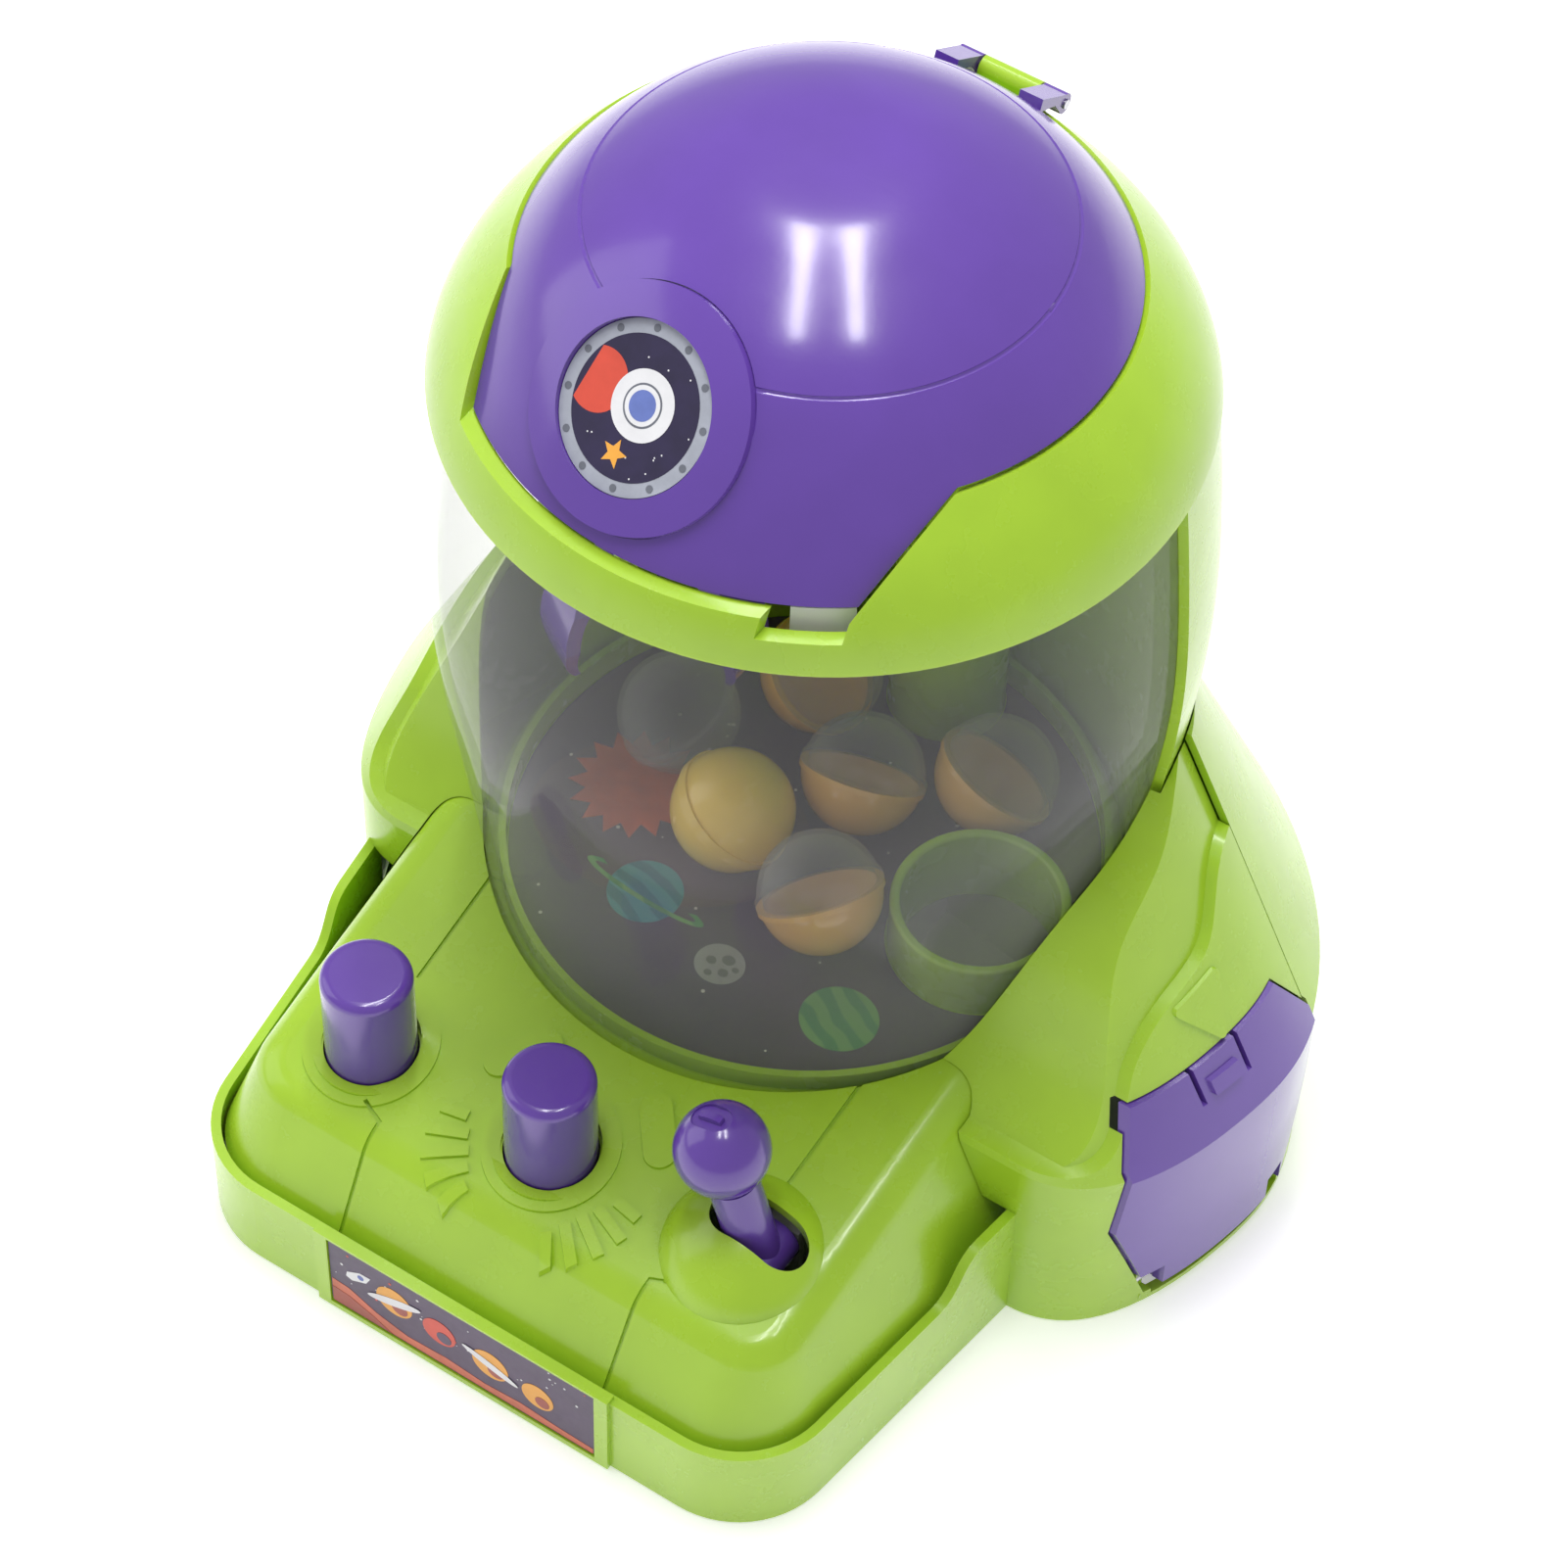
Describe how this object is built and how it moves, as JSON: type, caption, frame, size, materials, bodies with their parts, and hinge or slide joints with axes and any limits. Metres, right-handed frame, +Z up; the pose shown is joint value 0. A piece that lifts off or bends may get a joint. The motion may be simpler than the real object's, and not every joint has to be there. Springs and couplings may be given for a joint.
{
  "type": "claw crane machine",
  "caption": "Toy claw crane machine with a domed opening lid, clear tank, joystick-driven swinging boom, push-knob lift and grab, prize chute and hinged prize door.",
  "frame": {"origin": "on the tank's vertical axis, on the ground under the machine", "axes": "+Z up, front (controls and label) towards -Y, prize door side towards +X"},
  "size_m": [0.2198, 0.2192, 0.252],
  "materials": {
    "green": "glossy moulded plastic",
    "purple": "glossy moulded plastic",
    "inner_white": "satin moulded plastic, colour guessed",
    "smoky_clear": "smoky clear plastic",
    "steel": "plated steel",
    "label_print": "printed card",
    "floor_print": "printed card",
    "porthole_print": "printed disc",
    "capsule_yellow": "glossy plastic",
    "capsule_amber": "translucent amber plastic",
    "capsule_orange": "glossy plastic",
    "capsule_clear": "clear plastic"
  },
  "bodies": {
    "machine": {"base_tray": "green", "bottom_cover": "green", "bottom_screws": "steel", "console_cover": "green", "side_pod_right": "green", "side_pod_left": "green", "rear_housing": "green", "front_window": "smoky_clear", "tank_rear_shell": "green", "top_hoop": "green", "play_floor": "green", "floor_card": "floor_print", "chute_ring": "green", "prize_chute": "inner_white", "front_label": "label_print", "lid_catch": "smoky_clear", "lid_pin": "steel", "door_pin": "steel", "joystick_bracket": "inner_white", "joystick_pin": "steel", "rack_guides": "inner_white", "column_sleeve": "green", "lever_bracket": "inner_white", "lever_pin": "steel", "lift_spring": "steel", "grab_spring": "steel"},
    "lid": {"lid": "purple", "porthole_bezel": "purple", "porthole_picture": "porthole_print"},
    "door": {"prize_door": "purple"},
    "stick": {"joystick_stem": "purple", "joystick_ball": "purple"},
    "slider": {"swing_rack": "inner_white"},
    "column": {"turret_tube": "green", "turret_collar": "green", "column_gear": "inner_white"},
    "lift_knob": {"lift_button": "purple"},
    "grab_knob": {"grab_button": "purple"},
    "lever": {"lift_lever": "inner_white"},
    "boom": {"boom": "green", "lift_rod": "steel", "cross_pin": "steel", "claw_hub": "green", "finger_pins": "steel"},
    "plunger": {"claw_plunger": "inner_white"},
    "finger_1": {"claw_finger_1": "purple"},
    "finger_2": {"claw_finger_2": "purple"},
    "finger_3": {"claw_finger_3": "purple"},
    "capsule_1": {"capsule_1_clear_half": "capsule_yellow", "capsule_1_colour_half": "capsule_yellow"},
    "capsule_2": {"capsule_2_clear_half": "capsule_clear", "capsule_2_colour_half": "capsule_amber"},
    "capsule_3": {"capsule_3_clear_half": "capsule_clear", "capsule_3_colour_half": "capsule_amber"},
    "capsule_4": {"capsule_4_clear_half": "capsule_clear", "capsule_4_colour_half": "capsule_amber"},
    "capsule_5": {"capsule_5_clear_half": "capsule_clear", "capsule_5_colour_half": "capsule_clear"},
    "capsule_6": {"capsule_6_clear_half": "capsule_clear", "capsule_6_colour_half": "capsule_orange"}
  },
  "joints": [
    {"name": "stick_swing", "type": "hinge", "parent": "machine", "child": "stick", "pos_m": [0.049, -0.091, 0.044], "axis": [0, 1, 0], "range_deg": [0, 34]},
    {"name": "slider_travel", "type": "slide", "parent": "machine", "child": "slider", "axis": [-1, 0, 0], "range_m": [0, 0.0158]},
    {"name": "column_swing", "type": "hinge", "parent": "machine", "child": "column", "pos_m": [0.003, 0.052, 0.05], "axis": [0, 0, 1], "range_deg": [0, 84]},
    {"name": "lift_press", "type": "slide", "parent": "machine", "child": "lift_knob", "axis": [0, 0, -1], "range_m": [0, 0.011], "stiffness_N_per_m": 250, "deforming": ["lift_spring"]},
    {"name": "lever_rock", "type": "hinge", "parent": "machine", "child": "lever", "pos_m": [-0.02729, -0.03855, 0.0202], "axis": [0.9484, -0.3172, 0], "range_deg": [0, 11]},
    {"name": "boom_lift", "type": "slide", "parent": "column", "child": "boom", "axis": [0, 0, 1], "range_m": [0, 0.0178]},
    {"name": "grab_press", "type": "slide", "parent": "machine", "child": "grab_knob", "axis": [0, 0, -1], "range_m": [0, 0.011], "stiffness_N_per_m": 200, "deforming": ["grab_spring"]},
    {"name": "plunger_pull", "type": "slide", "parent": "boom", "child": "plunger", "axis": [0, 0, 1], "range_m": [0, 0.0023]},
    {"name": "finger_1_close", "type": "hinge", "parent": "boom", "child": "finger_1", "pos_m": [-0.03444, 0.00652, 0.1136], "axis": [0, 1, 0], "range_deg": [0, 25.2]},
    {"name": "finger_2_close", "type": "hinge", "parent": "boom", "child": "finger_2", "pos_m": [-0.04794, 0.01432, 0.1136], "axis": [-0.866, -0.5, 0], "range_deg": [0, 25.2]},
    {"name": "finger_3_close", "type": "hinge", "parent": "boom", "child": "finger_3", "pos_m": [-0.04794, -0.00127, 0.1136], "axis": [0.866, -0.5, 0], "range_deg": [0, 25.2]},
    {"name": "lid_open", "type": "hinge", "parent": "machine", "child": "lid", "pos_m": [0, 0.065, 0.2223], "axis": [-1, 0, 0], "range_deg": [0, 100]},
    {"name": "door_open", "type": "hinge", "parent": "machine", "child": "door", "pos_m": [0.1045, -0.032, 0.007], "axis": [0.2094, 0.9778, 0], "range_deg": [0, 75]},
    {"name": "capsule_1_lift", "type": "slide", "parent": "machine", "child": "capsule_1", "axis": [0, 0, 1], "range_m": [0, 0.008]},
    {"name": "capsule_2_lift", "type": "slide", "parent": "machine", "child": "capsule_2", "axis": [0, 0, 1], "range_m": [0, 0.008]},
    {"name": "capsule_3_lift", "type": "slide", "parent": "machine", "child": "capsule_3", "axis": [0, 0, 1], "range_m": [0, 0.008]},
    {"name": "capsule_4_lift", "type": "slide", "parent": "machine", "child": "capsule_4", "axis": [0, 0, 1], "range_m": [0, 0.008]},
    {"name": "capsule_5_lift", "type": "slide", "parent": "machine", "child": "capsule_5", "axis": [0, 0, 1], "range_m": [0, 0.008]},
    {"name": "capsule_6_lift", "type": "slide", "parent": "machine", "child": "capsule_6", "axis": [0, 0, 1], "range_m": [0, 0.008]}
  ],
  "couplings": [
    {"joint": "slider_travel", "follows": "stick_swing", "m_per_rad": 0.02615},
    {"joint": "column_swing", "follows": "stick_swing", "ratio": 2.4612},
    {"joint": "lever_rock", "follows": "lift_press", "rad_per_m": 16.95},
    {"joint": "boom_lift", "follows": "lift_press", "ratio": 1.609},
    {"joint": "plunger_pull", "follows": "grab_press", "ratio": 0.2},
    {"joint": "finger_1_close", "follows": "grab_press", "rad_per_m": 39.67},
    {"joint": "finger_2_close", "follows": "grab_press", "rad_per_m": 39.67},
    {"joint": "finger_3_close", "follows": "grab_press", "rad_per_m": 39.67}
  ]
}
